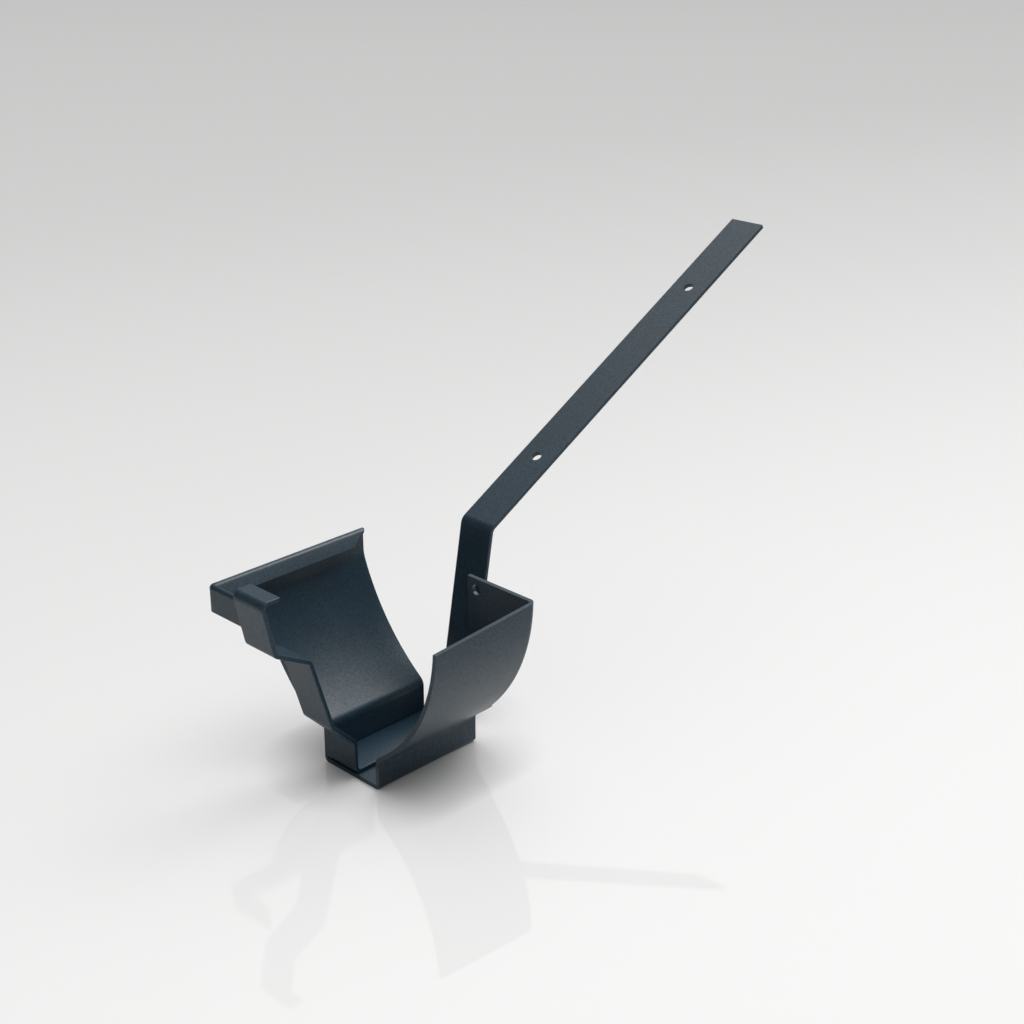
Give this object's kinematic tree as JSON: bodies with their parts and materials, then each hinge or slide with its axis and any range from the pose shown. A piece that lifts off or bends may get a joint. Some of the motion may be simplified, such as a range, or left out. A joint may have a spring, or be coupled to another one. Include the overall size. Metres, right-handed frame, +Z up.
{
  "type": "gutter bracket",
  "caption": "Gutter bracket: a bent flat bar with a stepped front hook and a long drilled rafter arm, lying in a folded sheet cradle with curved wings, a rolled lip and a drilled plate.",
  "frame": {"origin": "centre of the lower screw hole in the rafter arm, halfway through the bar", "axes": "+Z up with the arm rising at its mounted pitch, +X from the front hook back to the arm's tip, +Y along the gutter towards the rolled lip"},
  "size_m": [0.4193, 0.1475, 0.2586],
  "materials": {
    "bar_coat": "satin anthracite powder coat",
    "sheet_coat": "satin anthracite powder coat"
  },
  "bodies": {
    "root": {"hanger_strap": "bar_coat", "cradle": "sheet_coat"}
  },
  "joints": []
}
